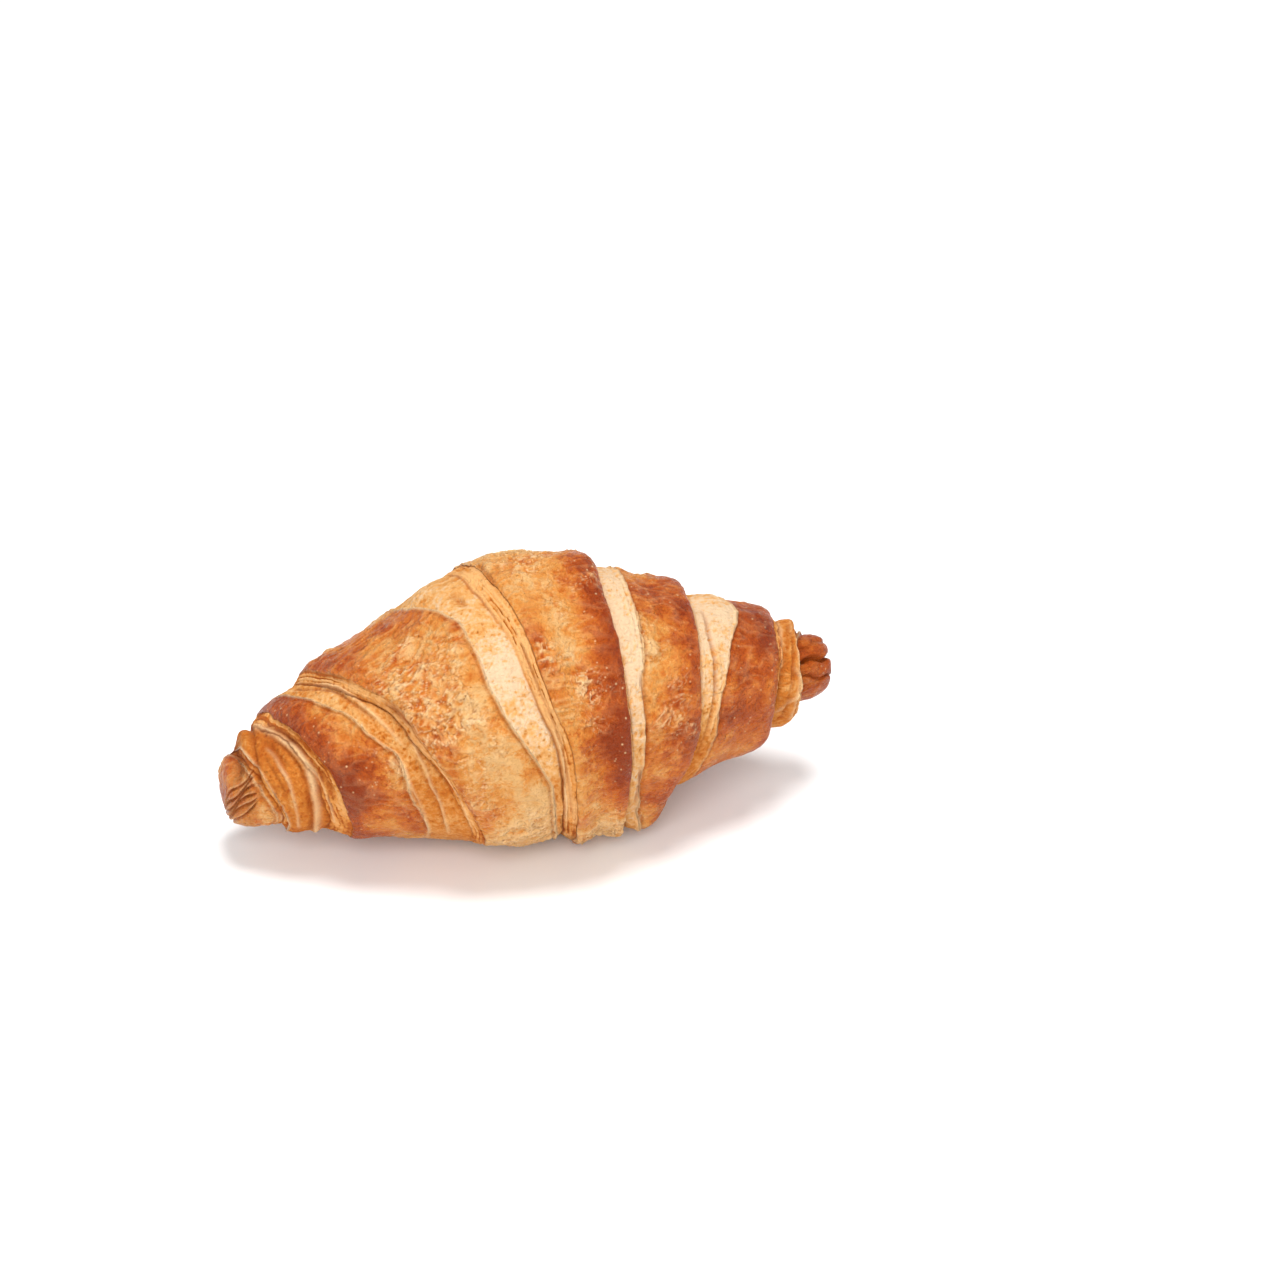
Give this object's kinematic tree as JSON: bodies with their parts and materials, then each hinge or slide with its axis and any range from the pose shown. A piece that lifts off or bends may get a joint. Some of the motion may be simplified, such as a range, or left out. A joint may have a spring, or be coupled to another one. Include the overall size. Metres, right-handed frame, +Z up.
{
  "type": "croissant",
  "caption": "Whole baked croissant: a plump straight roll with stepped spiral wraps, tapering to two blunt tips, resting on its flat sole.",
  "frame": {"origin": "centre of the bounding box on the surface that the croissant rests on", "axes": "+X along the roll towards its right end, +Z up, and the side that is seen in the picture faces -Y"},
  "size_m": [0.15, 0.0696, 0.0698],
  "materials": {
    "crust": "baked, egg-washed, satin"
  },
  "bodies": {
    "root": {"croissant": "crust"}
  },
  "joints": []
}
